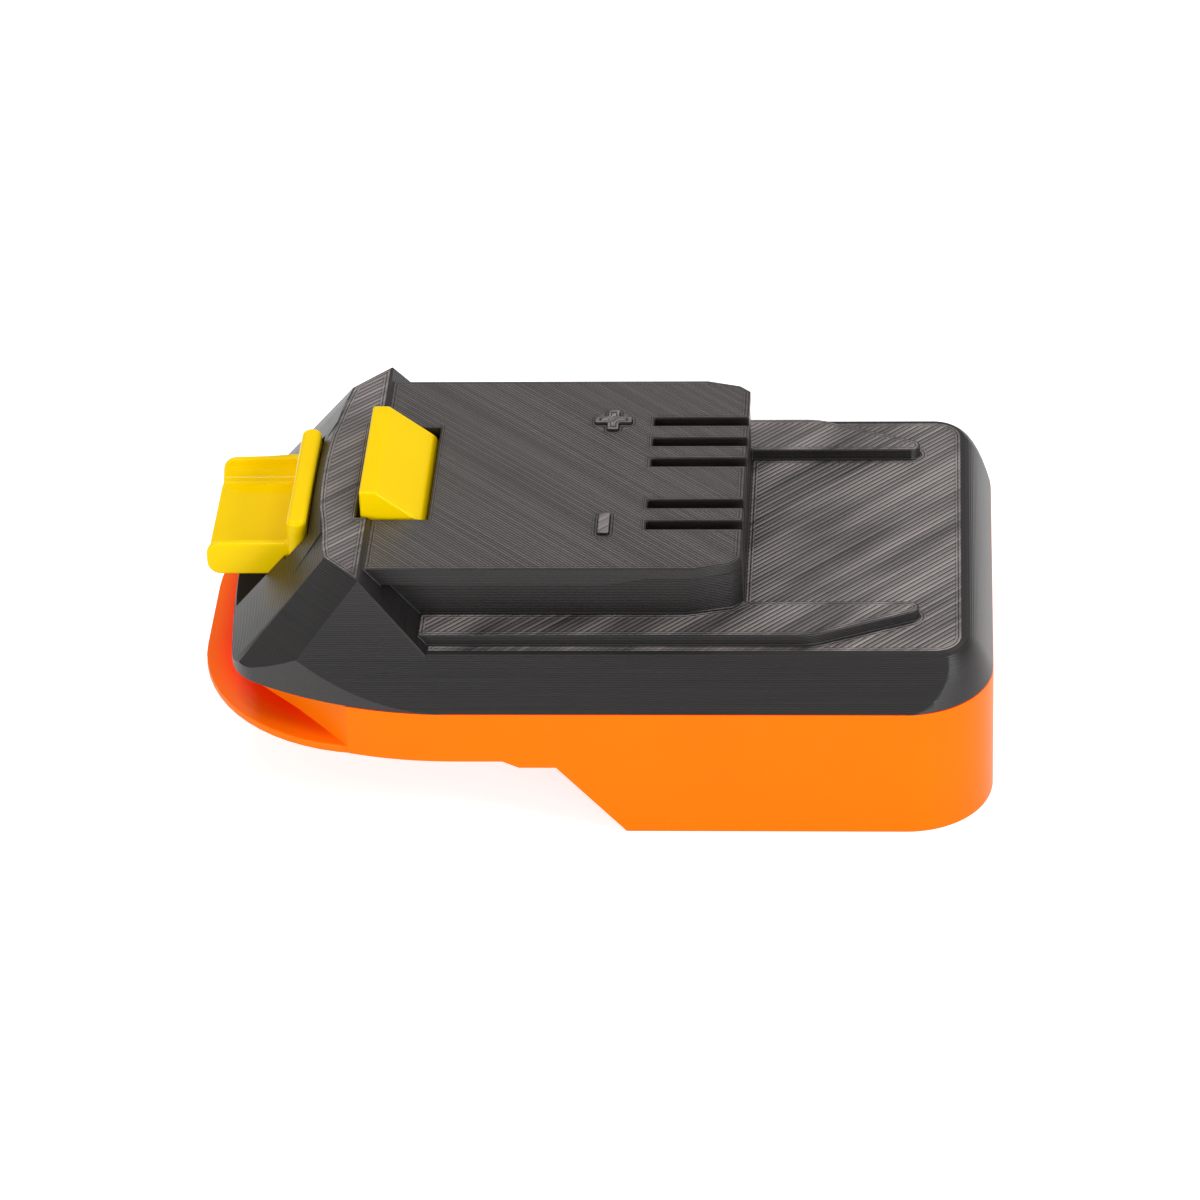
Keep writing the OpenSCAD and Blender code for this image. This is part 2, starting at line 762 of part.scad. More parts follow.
module bottom_shell() {
    head_d = screw_head_d + 2 * screw_gap;
    color("#ff7a00") difference() {
        union() {
            difference() {
                union() {
                    difference() {
                        intersection() {
                            plan_block(0, seam_z);
                            across(body_width) skirt_profile();
                        }
                        corner_recess(socket_z - cut, seam_z + cut);
                    }
                    lip_block();
                }
                difference() {
                    plan_block(floor_z, seam_z + cut, wall);
                    corner_recess(floor_z - cut, seam_z + 2 * cut, wall);
                }
                socket_room();
            }
            ledge();
            mirror([0, 1, 0]) ledge();
            catch_box(wall, socket_z, catch_z + floor_t);
            at_each(shell_posts, floor_z - eps) cylinder(d = post_d, h = seam_z - floor_z + eps);
            for (s = [-1, 1]) translate([spring_x, s * spring_spacing / 2, floor_z - eps])
                cylinder(d = peg_d, h = peg_height + eps);
        }
        catch_box(0, socket_z - cut, catch_z);
        holder_window(contact_gap);
        at_each(shell_posts, socket_z - cut) cylinder(d = screw_d + 2 * screw_gap, h = seam_z);
        at_each(shell_posts, socket_z - cut) cylinder(d = head_d, h = head_seat_z - socket_z + cut);
        at_each(holder_places, socket_z - cut)
            cylinder(d = small_screw_d + 2 * thread_gap, h = floor_t + 2 * cut);
    }
}

// Side view of the finger pad: flat top, rounded outer end
module pad_profile() {
    r = rim_end_r;
    polygon(concat(
        [[bar_x + bar_t / 2, pad_low], [bar_x + bar_t / 2, pad_z]],
        arc([pad_x + r, pad_z - r], r, 90, 180, 8),
        arc([pad_x + r, pad_low + r], r, 180, 270, 8)
    ));
}

// Trough of the pad, seen from its open end
module trough_profile() {
    half = pad_width / 2 - rim_width;
    low = pad_z - trough_depth;
    corner = arc([half - trough_r, low + trough_r], trough_r, -90, 0, 8);
    polygon(concat([for (p = [len(corner) - 1:-1:0]) [-corner[p].x, corner[p].y]], corner,
        [[half, pad_z + cut], [-half, pad_z + cut]]));
}

// Plan of the cross bar with its round ends, drawn in by t
module bar_plan(t) {
    r = bar_t / 2;
    reach = bar_width / 2 - r;
    polygon(concat(
        arc([bar_x + r, reach], r - t, 0, 180, 16),
        arc([bar_x + r, -reach], r - t, 180, 360, 16)
    ));
}

// Cross bar with a rounded top edge
module cross_bar() {
    steps = 4;
    low = bar_z - bar_edge_r;
    translate([0, 0, web_low]) linear_extrude(low - web_low) bar_plan(0);
    hull() for (i = [0:steps]) let(a = 90 * i / steps)
        translate([0, 0, low + bar_edge_r * sin(a) - eps]) linear_extrude(eps)
            bar_plan(bar_edge_r * (1 - cos(a)));
}

// Side view of the tooth: upright catch face, flat top, ramp with a round foot
module tooth_profile() {
    ramp_z = tooth_z - (tooth_length - tooth_flat) * tan(tooth_ramp);
    toe_z = ramp_z - tooth_toe_r * (1 - sin(tooth_ramp)) / cos(tooth_ramp);
    polygon(concat(
        [[tooth_end, web_low], [tooth_x, web_low], [tooth_x, tooth_z], [tooth_x + tooth_flat, tooth_z]],
        arc([tooth_end - tooth_toe_r, toe_z], tooth_toe_r, 90 - tooth_ramp, 0, 8)
    ));
}

module release_latch() {
    color("#f5cf00") difference() {
        union() {
            across(tooth_width) tooth_profile();
            box([bar_x, -web_width / 2, web_low], [tooth_end, web_width / 2, web_z]);
            cross_bar();
            across(pad_width) pad_profile();
        }
        translate([pad_x - cut, 0, 0]) rotate([90, 0, 90]) linear_extrude(pad_length + cut) trough_profile();
        for (s = [-1, 1]) translate([spring_x, s * spring_spacing / 2, web_low - cut])
            cylinder(d = spring_d + 2 * spring_gap, h = spring_depth + cut);
    }
}

// Tube through a list of rings, closed at both ends
module tube(rings) {
    n = len(rings);
    m = len(rings[0]);
    sides = [
        for (i = [0:n - 2], j = [0:m - 1]) let(k = (j + 1) % m, a = i * m, b = a + m)
            each [[a + j, b + j, a + k], [a + k, b + j, b + k]]
    ];
    first = [for (j = [1:m - 2]) [0, j, j + 1]];
    last = [for (j = [1:m - 2], a = [(n - 1) * m]) [a, a + j + 1, a + j]];
    polyhedron([for (one = rings) each one], concat(sides, first, last));
}
function ring(p, u, v, r, sides) = [
    for (i = [0:sides - 1]) p + r * (cos(360 * i / sides) * u + sin(360 * i / sides) * v)
];

// Middle line of a spring
spring_steps = 8 * spring_turns;
spring_mean_r = (spring_d - spring_wire) / 2;
spring_low = floor_z + spring_wire / 2 + eps;
spring_rise = spring_top - spring_wire / 2 - eps - spring_low;
function spring_turn(i) = 360 * spring_turns * i / spring_steps;
function spring_point(i) = let(a = spring_turn(i))
    [spring_mean_r * cos(a), spring_mean_r * sin(a), spring_low + spring_rise * i / spring_steps];
spring_self_gap = min([
    for (i = [0:spring_steps], j = [i + 6:1:spring_steps]) norm(spring_point(i) - spring_point(j))
]) - spring_wire;
echo("least gap of a spring to itself", spring_self_gap);

module latch_spring(side) {
    color("silver") translate([spring_x, side * spring_spacing / 2, 0]) tube([
        for (i = [0:spring_steps]) let(a = spring_turn(i))
            ring(spring_point(i), [cos(a), sin(a), 0], [0, 0, -1], spring_wire / 2, 6)
    ]);
}
module near_latch_spring() {
    latch_spring(-1);
}
module far_latch_spring() {
    latch_spring(1);
}

module clip_carrier() {
    half = carrier_width / 2;
    tail_half = clip_tail_width / 2 + contact_gap;
    color("#d8d2c4") difference() {
        box([carrier_x, -half, carrier_low], [carrier_end, half, carrier_z]);
        for (y = [positive_y, signal_y, negative_y]) box(
            [clip_x - contact_gap, y - tail_half, carrier_low - cut],
            [clip_x + clip_t + contact_gap, y + tail_half, carrier_z + cut]
        );
        at_each(carrier_places, carrier_low - cut)
            cylinder(d = small_screw_d + 2 * screw_gap, h = carrier_t + 2 * cut);
    }
}

// One folded contact: base, two jaws that pinch and flare, and a tail for its wire
module clip(y) {
    half = clip_width / 2;
    pinch_x = clip_tip - jaw_flare_length;
    bend_x = clip_x + clip_base_length;
    gap = jaw_gap / 2;
    tail = clip_tail_width / 2;
    color("#c9a24a") translate([0, y, 0]) {
        box([clip_x, -half, carrier_z], [bend_x, half, carrier_z + clip_t]);
        box([clip_x, -tail, clip_tail_low], [clip_x + clip_t, tail, carrier_z + clip_t]);
        for (s = [0, 1]) mirror([0, s, 0]) translate([0, 0, carrier_z]) linear_extrude(clip_t + jaw_height)
            polygon([
                [clip_x, half - clip_t], [bend_x, half - clip_t], [pinch_x, gap], [clip_tip, gap + jaw_flare],
                [clip_tip, gap + jaw_flare + clip_t], [pinch_x, gap + clip_t], [bend_x, half], [clip_x, half]
            ]);
    }
}
module positive_clip() {
    clip(positive_y);
}
module negative_clip() {
    clip(negative_y);
}
module signal_clip() {
    clip(signal_y);
}

// Screw with its head below or above its shank
module screw(d, length, head_d, head_h) {
    difference() {
        union() {
            translate([0, 0, -head_h]) cylinder(d = head_d, h = head_h);
            translate([0, 0, -eps]) cylinder(d = d, h = length + eps);
        }
        translate([0, 0, -head_h - cut]) cylinder(d = head_d / 2, h = head_h / 2 + cut, $fn = 6);
    }
}

module carrier_screws() {
    color("#9a9a9a") at_each(carrier_places, carrier_low)
        screw(small_screw_d, carrier_t + small_grip, small_head_d, small_head_h);
}

module blade_holder() {
    half = holder_width / 2;
    wide = half + holder_flange;
    slit = blade_t / 2 + contact_gap;
    slit_end = blade_tail_end + contact_gap;
    slit_z = blade_z + blade_height + contact_gap;
    color("#26282b") difference() {
        union() {
            box([holder_x, -half, holder_low], [holder_end, half, floor_z + eps]);
            box([holder_x, -wide, floor_z], [holder_end, wide, holder_z]);
        }
        for (y = blade_places) {
            box([holder_x - cut, y - slit, blade_z], [slit_end, y + slit, slit_z]);
            box([blade_tail_x - contact_gap, y - slit, blade_z], [slit_end, y + slit, holder_z + cut]);
        }
        at_each(holder_places, floor_z - cut)
            cylinder(d = small_screw_d + 2 * screw_gap, h = holder_flange_t + 2 * cut);
    }
}

// One blade with its tail for the wire
module blade(y) {
    nose = blade_nose;
    color("#c8c4b8") translate([0, y, 0]) across(blade_t) polygon([
        [blade_tip, blade_z + nose], [blade_tip + nose, blade_z], [blade_tail_end, blade_z],
        [blade_tail_end, blade_tail_z], [blade_tail_x, blade_tail_z], [blade_tail_x, blade_z + blade_height],
        [blade_tip + nose, blade_z + blade_height], [blade_tip, blade_z + blade_height - nose]
    ]);
}
module positive_blade() {
    blade(blade_places[2]);
}
module negative_blade() {
    blade(blade_places[0]);
}
module signal_blade() {
    blade(blade_places[1]);
}

module holder_screws() {
    color("#9a9a9a") at_each(holder_places, holder_z) mirror([0, 0, 1])
        screw(small_screw_d, holder_flange_t + floor_t - screw_gap, small_head_d, small_head_h);
}

// Wire from a clip's tail to a blade's tail, easing from one to the other with a little slack
module wire(d, clip_y, blade_y) {
    steps = 20;
    from = [clip_x + clip_t, clip_y, clip_wire_z];
    run = [blade_tail_x, blade_y, blade_wire_z] - from;
    tube([
        for (i = [0:steps]) let(
            t = i / steps,
            ease = t * t * (3 - 2 * t),
            slack = wire_slack * pow(sin(180 * t), 2),
            p = from + [run.x * t, run.y * ease + slack, run.z * ease]
        ) ring(p, [0, 1, 0], [0, 0, 1], d / 2, 8)
    ]);
}
module positive_wire() {
    color("#c62020") wire(power_wire_d, positive_y, blade_places[2]);
}
module negative_wire() {
    color("#1c1c1c") wire(power_wire_d, negative_y, blade_places[0]);
}
module signal_wire() {
    color("#e8e4d8") wire(signal_wire_d, signal_y, blade_places[1]);
}

module threaded_inserts() {
    color("#c9a24a") at_each(shell_posts, seam_z) difference() {
        cylinder(d = insert_d, h = insert_length);
        translate([0, 0, -1]) cylinder(d = screw_d + 2 * thread_gap, h = insert_length + 2);
    }
}

module shell_screws() {
    color("#8f9296") at_each(shell_posts, head_seat_z)
        screw(screw_d, screw_length, screw_head_d, screw_head_h);
}

top_shell();
bottom_shell();
release_latch();
near_latch_spring();
far_latch_spring();
clip_carrier();
positive_clip();
negative_clip();
signal_clip();
carrier_screws();
blade_holder();
positive_blade();
negative_blade();
signal_blade();
holder_screws();
positive_wire();
negative_wire();
signal_wire();
threaded_inserts();
shell_screws();
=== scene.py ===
import json
import math

import bmesh
import bpy
from mathutils import Matrix, Vector
from mathutils.geometry import delaunay_2d_cdt, intersect_point_tri_2d


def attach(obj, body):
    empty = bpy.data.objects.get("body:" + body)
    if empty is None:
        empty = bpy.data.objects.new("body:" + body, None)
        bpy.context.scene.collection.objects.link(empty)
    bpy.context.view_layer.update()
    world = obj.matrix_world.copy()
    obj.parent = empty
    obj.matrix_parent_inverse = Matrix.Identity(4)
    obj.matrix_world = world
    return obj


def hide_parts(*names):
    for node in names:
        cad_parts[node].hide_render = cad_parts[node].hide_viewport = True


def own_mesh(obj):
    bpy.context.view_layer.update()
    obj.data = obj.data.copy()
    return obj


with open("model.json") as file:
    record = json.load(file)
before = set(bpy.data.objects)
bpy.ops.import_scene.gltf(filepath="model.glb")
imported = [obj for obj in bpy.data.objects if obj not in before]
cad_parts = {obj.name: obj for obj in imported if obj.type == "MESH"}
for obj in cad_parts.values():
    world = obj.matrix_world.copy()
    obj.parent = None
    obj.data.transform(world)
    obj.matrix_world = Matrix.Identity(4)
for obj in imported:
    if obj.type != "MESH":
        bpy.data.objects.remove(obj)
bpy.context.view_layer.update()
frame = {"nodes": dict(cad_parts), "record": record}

MM = 0.001
scene = bpy.context.scene
scene.view_settings.view_transform = "Standard"

# Camera, as in the photograph
CAMERA_PLACE = Vector((51.45, -668.75, 462.3)) * MM
CAMERA_ELEVATION = 33.70
CAMERA_TURN = 3.668
CAMERA_LENS = 159.3

# Light of the studio around the object, and the floor, a hair below the object
WORLD_LEVEL = 0.4
FLOOR_HALF = 3.0
FLOOR_Z = -0.02 * MM
FLOOR_LEVEL = 0.7
WARM = (1.0, 0.955, 0.93)
WHITE = (1.0, 1.0, 1.0)

# Heights and line widths of the printed shells, in millimetres
RAIL_Z = 39.2
RASTER_PITCH = 0.78
BEAD_WIDTH = 0.46
RING_WIDTH = 2 * BEAD_WIDTH
LAYER_HEIGHT = 0.28
TOPS_FROM_Z = 27.0
LIP_RIM_Z = 13.8
LIP_TOP_Z = 15.0

# Colours of the printed shells and of the latch, each from its darker to its lighter end
# The groove colour is painted shade in the grooves between the beads
GROOVE_SHADE = (0.006, 0.005, 0.0048, 1)
DULL_BEAD = (0.018, 0.0158, 0.0154, 1)
# The bright bead colour is painted sheen, a highlight on the bead crowns; the dull bead colour is the plain
# black
SHEEN_BEAD = (0.28, 0.25, 0.243, 1)
SIDE_COLOURS = (0.003, 0.0025, 0.0024, 1), (0.014, 0.012, 0.0115, 1)
WALL_COLOURS = (0.88, 0.158, 0.0, 1), (0.9, 0.174, 0.0, 1)
# Painted shade: a redder orange for the faces that look up under the overhang, deepest towards the wall
SHADED_SHELF_COLOURS = (0.93, 0.13, 0.0, 1), (0.93, 0.03, 0.0, 1)
LATCH_COLOURS = (0.83, 0.55, 0.0, 1), (0.87, 0.6, 0.0, 1)

# Least angle of an edge that is rounded: the shells keep their flatter edges sharp
ROUND_FROM = 28
SHELL_ROUND_FROM = 50

# Strength of a face in the weighted normals: new faces of a rounded edge count less than flat ones
WEAK = -16384

SLOT_OF = {part["node"]: part["material_slot"] for part in frame["record"]["subparts"]}
BODY_OF = {node: body for body, nodes in frame["record"]["behaviour"]["bodies"].items() for node in nodes}


class Graph:
    """A material with a principled surface, and short calls that add nodes to it."""

    def __init__(self, name):
        self.material = bpy.data.materials.new(name)
        self.material.use_nodes = True
        self.tree = self.material.node_tree
        self.tree.nodes.clear()
        self.surface = self.add("BsdfPrincipled")
        output = self.add("OutputMaterial")
        self.tree.links.new(self.surface.outputs[0], output.inputs[0])

    def add(self, kind, **settings):
        node = self.tree.nodes.new("ShaderNode" + kind)
        for key, value in settings.items():
            setattr(node, key, value)
        return node

    def feed(self, socket, value):
        """Sets a socket to a value, or links it to another node's output."""
        if isinstance(value, bpy.types.NodeSocket):
            self.tree.links.new(value, socket)
        else:
            socket.default_value = value

    def math(self, operation, *values):
        node = self.add("Math", operation=operation)
        for socket, value in zip(node.inputs, values):
            self.feed(socket, value)
        return node.outputs[0]

    def mix(self, factor, a, b):
        """Number between a and b."""
        node = self.add("Mix", data_type="FLOAT")
        for index, value in ((0, factor), (2, a), (3, b)):
            self.feed(node.inputs[index], value)
        return node.outputs[0]

    def mix_colour(self, factor, a, b):
        node = self.add("Mix", data_type="RGBA")
        for index, value in ((0, factor), (6, a), (7, b)):
            self.feed(node.inputs[index], value)
        return node.outputs[2]

    def step(self, value, low, high):
        """0 below low, 1 above high, smooth between them."""
        node = self.add("MapRange", interpolation_type="SMOOTHSTEP")
        for index, number in ((0, value), (1, low), (2, high)):
            self.feed(node.inputs[index], number)
        return node.outputs[0]

    def range(self, value, low, high):
        """A value from 0 to 1 carried over to the span from low to high."""
        node = self.add("MapRange")
        for index, number in ((0, value), (3, low), (4, high)):
            self.feed(node.inputs[index], number)
        return node.outputs[0]

    def position(self):
        """Object position in millimetres, as a vector and as x, y and z."""
        scaled = self.add("VectorMath", operation="SCALE")
        self.feed(scaled.inputs[0], self.add("TexCoord").outputs["Object"])
        scaled.inputs["Scale"].default_value = 1 / MM
        split = self.add("SeparateXYZ")
        self.feed(split.inputs[0], scaled.outputs[0])
        return scaled.outputs[0], *split.outputs

    def facing_up(self):
        split = self.add("SeparateXYZ")
        self.feed(split.inputs[0], self.add("NewGeometry").outputs["True Normal"])
        return split.outputs[2]

    def noise(self, vector, scale, detail=2.0, stretch=None):
        if stretch:
            mapping = self.add("Mapping")
            self.feed(mapping.inputs[0], vector)
            mapping.inputs["Scale"].default_value = stretch
            vector = mapping.outputs[0]
        node = self.add("TexNoise")
        self.feed(node.inputs["Vector"], vector)
        node.inputs["Scale"].default_value = scale
        node.inputs["Detail"].default_value = detail
        return node.outputs[0]

    def bead(self, value, pitch):
        """Round bead profile, from 0 in the grooves to 1 on top, one bead in each pitch."""
        share = self.math("FRACT", self.math("DIVIDE", value, pitch))
        side = self.math("MULTIPLY_ADD", share, 2.0, -1.0)
        return self.math("SUBTRACT", 1.0, self.math("MULTIPLY", side, side))

    def bump(self, height, distance, strength=1.0):
        node = self.add("Bump")
        node.inputs["Strength"].default_value = strength
        node.inputs["Distance"].default_value = distance * MM
        self.feed(node.inputs["Height"], height)
        self.feed(self.surface.inputs["Normal"], node.outputs[0])

    def set(self, **values):
        for key, value in values.items():
            self.feed(self.surface.inputs[key.replace("_", " ")], value)


def diagonals(g, x, y, on_rail):
    """Distances across and along the diagonal beads, which turn the other way on the rail."""
    way = g.math("MULTIPLY_ADD", on_rail, 2.0, -1.0)
    across = g.math("MULTIPLY", g.math("MULTIPLY_ADD", y, way, x), math.sqrt(0.5))
    back = g.math("MULTIPLY", y, -1.0)
    along = g.math("MULTIPLY", g.math("MULTIPLY_ADD", back, way, x), math.sqrt(0.5))
    return across, along


def streaks(g, along, along_scale, across, across_scale=None):
    """Noise drawn out along the beads."""
    place = g.add("CombineXYZ")
    g.feed(place.inputs[0], g.math("MULTIPLY", along, along_scale))
    g.feed(place.inputs[1], g.math("MULTIPLY", across, across_scale) if across_scale else across)
    return g.noise(place.outputs[0], 1.0, 2.0)


def black_print():
    """Black printed plastic: diagonal beads and edge rings on flat tops, layer lines on the sides, with painted
    sheen on the bead crowns and painted shade in the grooves.
    """
    g = Graph("black_print")
    place, x, y, z = g.position()
    top = g.step(g.facing_up(), 0.95, 0.99)
    on_rail = g.math("COMPARE", z, RAIL_Z, 0.2)
    across, along = diagonals(g, x, y, on_rail)
    ring = g.add("Attribute", attribute_name="edge_distance").outputs["Fac"]
    inside = g.math("GREATER_THAN", ring, RING_WIDTH - 0.02)
    pitch = g.mix(on_rail, RASTER_PITCH, BEAD_WIDTH)
    line = g.math("FLOOR", g.math("DIVIDE", across, pitch))
    chance = g.add("TexWhiteNoise", noise_dimensions="1D")
    g.feed(chance.inputs["W"], line)
    streak = streaks(g, along, 0.06, line)
    swell = streaks(g, along, 0.03, across, 0.13)

    beads = g.bead(across, pitch)
    raster = g.math("MULTIPLY", beads, g.range(streak, 0.5, 1.5))
    rings = g.math("MULTIPLY", g.bead(ring, BEAD_WIDTH), g.range(beads, 0.5, 1.2))
    flat = g.mix(inside, rings, raster)
    layers = g.math("MULTIPLY", g.bead(z, LAYER_HEIGHT), 0.2)
    waves = g.math("MULTIPLY_ADD", swell, g.mix(on_rail, 4.0, 2.0), flat)
    g.bump(g.mix(top, layers, waves), 0.12)

    # Painted sheen: the bead crowns run from dull to bright in broad diagonal streaks, with less of it on the
    # rail
    spread = g.mix(on_rail, g.step(swell, 0.3, 0.7), g.range(swell, 0.3, 0.7))
    tone = g.math("MULTIPLY_ADD", chance.outputs[0], 0.35, g.math("MULTIPLY", spread, 0.65))
    sheen_amount = g.mix(on_rail, tone, g.math("MULTIPLY", tone, 0.42))
    crown_sheen = g.mix_colour(sheen_amount, DULL_BEAD, SHEEN_BEAD)
    # Painted shade: the grooves between the beads are darker in colour, and rougher
    grooves = g.step(flat, 0.1, 0.7)
    shine = g.math("MULTIPLY_ADD", g.noise(place, 0.5), 0.12, g.range(streak, 0.4, 0.22))
    side = g.mix_colour(g.noise(place, 1.0, 2.0, (0.03, 0.03, 2.5)), *SIDE_COLOURS)
    g.set(
        Base_Color=g.mix_colour(top, side, g.mix_colour(grooves, GROOVE_SHADE, crown_sheen)),
        Roughness=g.mix(top, 0.36, g.mix(grooves, 0.7, shine)),
        Specular_IOR_Level=0.45,
    )
    return g.material


def orange_print():
    """Bright orange printed plastic with fine layer lines, and painted shade on the faces that look up: a
    redder orange that deepens towards the wall under the overhang.
    """
    g = Graph("orange_print")
    place, _, _, z = g.position()
    # Painted shade: faces that look up turn a redder orange, deeper with height towards the wall under the
    # black overhang
    up_facing_shade = g.step(g.facing_up(), 0.5, 0.9)
    g.bump(g.bead(z, LAYER_HEIGHT), 0.01)
    plain = g.mix_colour(g.noise(place, 0.08), *WALL_COLOURS)
    shelf_shade = g.mix_colour(g.step(z, LIP_RIM_Z, LIP_TOP_Z), *SHADED_SHELF_COLOURS)
    g.set(Base_Color=g.mix_colour(up_facing_shade, plain, shelf_shade), Roughness=0.36, Specular_IOR_Level=0.1)
    return g.material


def yellow_plastic():
    """Glossy yellow moulding with faint flow lines across the pad."""
    g = Graph("yellow_plastic")
    place = g.position()[0]
    g.bump(g.noise(place, 0.4, 2.0, (4.0, 0.4, 1.0)), 0.025)
    g.set(
        Base_Color=g.mix_colour(g.noise(place, 0.1), *LATCH_COLOURS),
        Roughness=0.14,
        Specular_IOR_Level=0.09,
    )
    return g.material


def metal(name, colour, dark, roughness, stretch):
    """Drawn or stamped metal with fine lines along one way."""
    g = Graph(name)
    place = g.position()[0]
    lines = g.noise(place, 3.0, 3.0, stretch)
    g.bump(lines, 0.01)
    g.set(
        Base_Color=g.mix_colour(lines, (*dark, 1), (*colour, 1)),
        Metallic=1.0,
        Roughness=g.range(lines, roughness - 0.06, roughness + 0.08),
    )
    return g.material


def moulded(name, colour, dark, roughness):
    """Plain moulded plastic or insulation with a fine grain."""
    g = Graph(name)
    place = g.position()[0]
    grain = g.noise(place, 2.5, 3.0)
    g.bump(grain, 0.015)
    g.set(
        Base_Color=g.mix_colour(g.noise(place, 0.15), (*dark, 1), (*colour, 1)),
        Roughness=g.range(grain, roughness - 0.06, roughness + 0.06),
    )
    return g.material


MATERIALS = {
    "black_print": black_print(),
    "orange_print": orange_print(),
    "yellow_plastic": yellow_plastic(),
    "spring_steel": metal("spring_steel", (0.62, 0.62, 0.64), (0.45, 0.45, 0.47), 0.25, (1, 1, 1)),
    "screw_steel": metal("screw_steel", (0.58, 0.58, 0.6), (0.38, 0.38, 0.4), 0.32, (1, 1, 4)),
    "contact_brass": metal("contact_brass", (0.78, 0.55, 0.22), (0.6, 0.4, 0.14), 0.28, (0.3, 3, 3)),
    "blade_metal": metal("blade_metal", (0.72, 0.7, 0.66), (0.55, 0.53, 0.5), 0.27, (0.3, 3, 3)),
    "carrier_plastic": moulded("carrier_plastic", (0.68, 0.63, 0.53), (0.6, 0.55, 0.46), 0.5),
    "holder_plastic": moulded("holder_plastic", (0.035, 0.035, 0.04), (0.022, 0.022, 0.026), 0.5),
    "wire_red": moulded("wire_red", (0.55, 0.02, 0.02), (0.45, 0.015, 0.015), 0.42),
    "wire_black": moulded("wire_black", (0.025, 0.025, 0.025), (0.015, 0.015, 0.015), 0.42),
    "wire_white": moulded("wire_white", (0.75, 0.72, 0.65), (0.68, 0.65, 0.58), 0.42),
}


def whole_mesh(node):
    """The CAD mesh of a node, with its split corners joined and its flat faces made whole."""
    mesh = bmesh.new()
    mesh.from_mesh(frame["nodes"][node].data)
    bmesh.ops.remove_doubles(mesh, verts=mesh.verts, dist=0.001 * MM)
    bmesh.ops.dissolve_limit(mesh, angle_limit=math.radians(0.3), verts=mesh.verts, edges=mesh.edges)
    return mesh


def roomy(edge, width):
    """Tells whether both faces at an edge are wide enough to be rounded."""
    return all(f.calc_area() > 2.5 * width * MM * edge.calc_length() for f in edge.link_faces)


def round_edges(mesh, width, segments=2, angle=ROUND_FROM):
    limit = math.radians(angle)
    strength = mesh.faces.layers.int.new("__mod_weightednormals_faceweight")
    sharp = [e for e in mesh.edges if e.is_manifold and e.calc_face_angle() > limit and roomy(e, width)]
    rounded = bmesh.ops.bevel(
        mesh, geom=sharp, offset=width * MM, segments=segments, profile=0.5, affect="EDGES", clamp_overlap=False
    )
    for face in rounded["faces"]:
        face[strength] = WEAK


def connected(faces):
    """Splits a list of faces into groups that hang together by their edges."""
    left = set(faces)
    while left:
        group = {left.pop()}
        rim = list(group)
        while rim:
            near = {f for e in rim.pop().edges for f in e.link_faces if f in left}
            left -= near
            group |= near
            rim.extend(near)
        yield group


def edge_gap(point, sides):
    """Distance from a point to the nearest of some straight sides, seen from above."""
    gap = math.inf
    for a, b in sides:
        along = b - a
        share = (point - a).dot(along) / along.length_squared
        gap = min(gap, (a + along * min(max(share, 0.0), 1.0) - point).length)
    return gap


def ring_point(corner, before, after, sides):
    """Point on the inner side of the edge ring next to a corner of a flat top."""
    way_in = [Vector((-d.y, d.x)).normalized() for d in (corner - before, after - corner)]
    miter = (way_in[0] + way_in[1]) / max(1 + way_in[0].dot(way_in[1]), 0.1)
    for share in range(20, 0, -1):
        reach = RING_WIDTH * MM * share / 20
        if edge_gap(corner + miter * reach, sides) > 0.97 * reach:
            break
    return corner + miter * reach


def ring_top(mesh, group, layer):
    """Cuts one flat top along a ring inside its edges, and notes how far each point is from the edge."""
    level = next(iter(group)).verts[0].co.z
    loops = [l for f in group for l in f.loops if sum(g in group for g in l.edge.link_faces) == 1]
    after = {l.vert: l.link_loop_next.vert for l in loops}
    before = {b: a for a, b in after.items()}
    corners = list(after)
    flat = {v: v.co.xy for v in corners}
    sides = [(flat[a], flat[b]) for a, b in after.items()]
    inner = [ring_point(flat[v], flat[before[v]], flat[after[v]], sides) for v in corners]
    place = {v: i for i, v in enumerate(corners)}
    count = len(corners)
    lines = [(place[a], place[b]) for a, b in after.items()]
    lines += [(a + count, b + count) for a, b in lines]
    shapes = [[l.vert.co.xy for l in t] for t in mesh.calc_loop_triangles() if t[0].face in group]
    points, _, cells, origin, _, _ = delaunay_2d_cdt([flat[v] for v in corners] + inner, lines, [], 0, 1e-7)
    bmesh.ops.delete(mesh, geom=list(group), context="FACES")
    made = []
    for point, sources in zip(points, origin):
        outer = [s for s in sources if s < count]
        made.append(corners[outer[0]] if outer else mesh.verts.new((*point, level)))
        made[-1][layer] = edge_gap(point, sides) / MM
    for cell in cells:
        middle = sum((points[i] for i in cell), Vector((0, 0))) / len(cell)
        if any(intersect_point_tri_2d(middle, *shape) for shape in shapes):
            mesh.faces.new([made[i] for i in cell])


def ring_tops(mesh, lowest):
    layer = mesh.verts.layers.float.new("edge_distance")
    tops = [f for f in mesh.faces if f.normal.z > 0.9999 and f.verts[0].co.z > lowest * MM]
    for group in list(connected(tops)):
        ring_top(mesh, group, layer)
    mesh.normal_update()


def place_piece(mesh, node, smooth=35, keep_flat=False):
    """Makes the finished mesh into a piece that stands for a CAD node."""
    data = bpy.data.meshes.new(node + "_skin")
    for face in mesh.faces:
        face.smooth = True
    for edge in mesh.edges:
        edge.smooth = edge.is_manifold and edge.calc_face_angle() < math.radians(smooth)
    mesh.to_mesh(data)
    mesh.free()
    piece = bpy.data.objects.new(node + "_skin", data)
    scene.collection.objects.link(piece)
    data.materials.append(MATERIALS[SLOT_OF[node]])
    even = piece.modifiers.new("even_normals", "WEIGHTED_NORMAL")
    even.keep_sharp = True
    even.use_face_influence = keep_flat
    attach(piece, BODY_OF[node])
    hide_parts(node)
    return piece


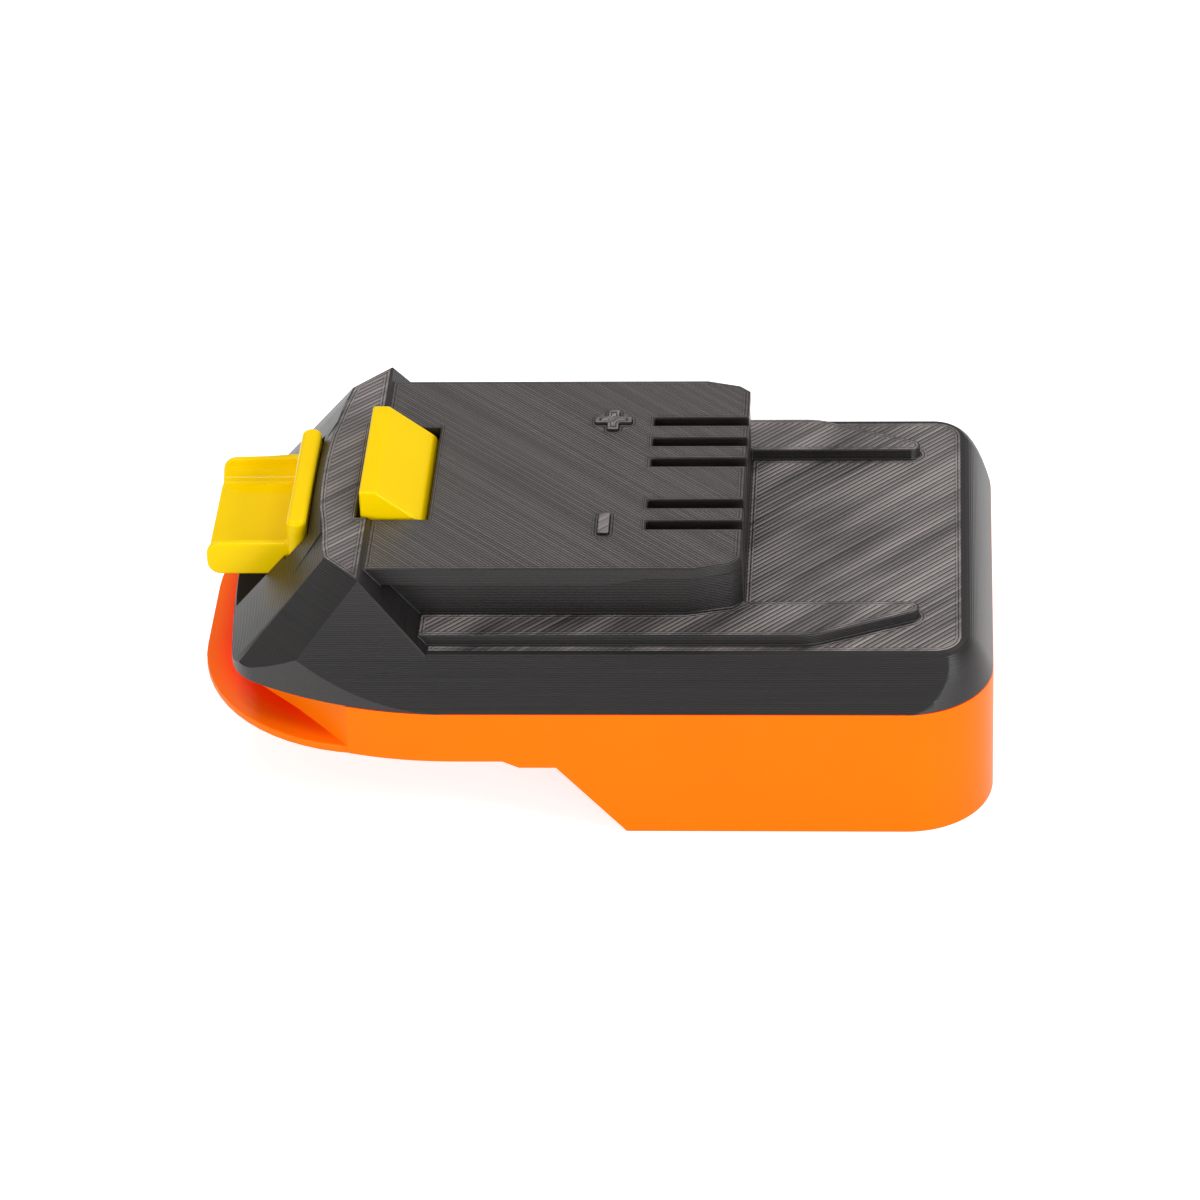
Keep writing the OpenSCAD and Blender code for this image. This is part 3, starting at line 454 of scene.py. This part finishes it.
def top_shell():
    mesh = whole_mesh("top_shell")
    round_edges(mesh, 0.22, angle=SHELL_ROUND_FROM)
    ring_tops(mesh, TOPS_FROM_Z)
    place_piece(mesh, "top_shell", keep_flat=True)


def dressed(node, width, segments=2, angle=ROUND_FROM):
    mesh = whole_mesh(node)
    round_edges(mesh, width, segments, angle)
    place_piece(mesh, node)


def smooth_piece(node):
    """A round piece, such as a wire, with its facets shaded smooth."""
    return place_piece(whole_mesh(node), node, 60)


def spring(node):
    """A latch spring, shaded smooth, on a mesh of its own."""
    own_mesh(smooth_piece(node))


top_shell()
dressed("bottom_shell", 0.3, angle=SHELL_ROUND_FROM)
dressed("release_latch", 0.4, 3)
for name in ("clip_carrier", "blade_holder"):
    dressed(name, 0.2)
for pole in ("positive", "negative", "signal"):
    dressed(pole + "_clip", 0.12)
    dressed(pole + "_blade", 0.12)
for name in ("carrier_screws", "holder_screws", "threaded_inserts", "shell_screws"):
    dressed(name, 0.1)
for name in ("positive_wire", "negative_wire", "signal_wire"):
    smooth_piece(name)
for name in ("near_latch_spring", "far_latch_spring"):
    spring(name)


def make_camera():
    data = bpy.data.cameras.new("camera")
    data.lens = CAMERA_LENS
    data.sensor_width = 36.0
    data.clip_start = 0.01
    camera = bpy.data.objects.new("camera", data)
    tilt = Matrix.Rotation(math.radians(90 - CAMERA_ELEVATION), 4, "X")
    turn = Matrix.Rotation(math.radians(CAMERA_TURN), 4, "Y")
    camera.matrix_world = Matrix.Translation(CAMERA_PLACE) @ tilt @ turn
    scene.collection.objects.link(camera)
    scene.camera = camera


def make_lamp(name, place, size, power, colour=WHITE):
    """Square soft lamp that looks at the object's middle. Places and sizes are in millimetres."""
    data = bpy.data.lights.new(name, "AREA")
    data.color = colour
    data.size = size * MM
    data.energy = power
    lamp = bpy.data.objects.new(name, data)
    lamp.location = Vector(place) * MM
    aim = Vector((0, 0, 20)) * MM - lamp.location
    lamp.rotation_euler = aim.to_track_quat("-Z", "Y").to_euler()
    scene.collection.objects.link(lamp)


def make_floor():
    """Pale floor that looks white, and still shows a soft shadow."""
    data = bpy.data.meshes.new("floor")
    corners = [(x * FLOOR_HALF, y * FLOOR_HALF, FLOOR_Z) for x, y in ((-1, -1), (1, -1), (1, 1), (-1, 1))]
    data.from_pydata(corners, [], [(0, 1, 2, 3)])
    floor = bpy.data.objects.new("floor", data)
    scene.collection.objects.link(floor)
    g = Graph("floor")
    g.set(Base_Color=(FLOOR_LEVEL, FLOOR_LEVEL, FLOOR_LEVEL, 1), Roughness=0.9)
    rays = g.add("LightPath").outputs
    seen = g.math("MAXIMUM", rays["Is Camera Ray"], rays["Is Glossy Ray"])
    seen = g.math("MAXIMUM", seen, rays["Is Transmission Ray"])
    g.set(Emission_Color=(1, 1, 1, 1), Emission_Strength=g.math("MULTIPLY", seen, FLOOR_LEVEL))
    data.materials.append(g.material)


def make_world():
    """Even, soft light of a studio."""
    world = bpy.data.worlds.new("studio")
    world.use_nodes = True
    background = world.node_tree.nodes["Background"]
    background.inputs["Color"].default_value = (*WHITE, 1)
    background.inputs["Strength"].default_value = WORLD_LEVEL
    scene.world = world


make_camera()
make_floor()
make_world()
make_lamp("back_left", (-280, 385, 640), 250, 1.2, WARM)
make_lamp("back_right", (280, 385, 640), 250, 1.3, WARM)
make_lamp("key", (-100, -190, 740), 150, 0.9)
make_lamp("front_left", (-520, -680, 300), 400, 3.4)
make_lamp("front_right", (450, -750, 160), 400, 3.0)
make_lamp("right", (640, -330, 450), 250, 2.5)
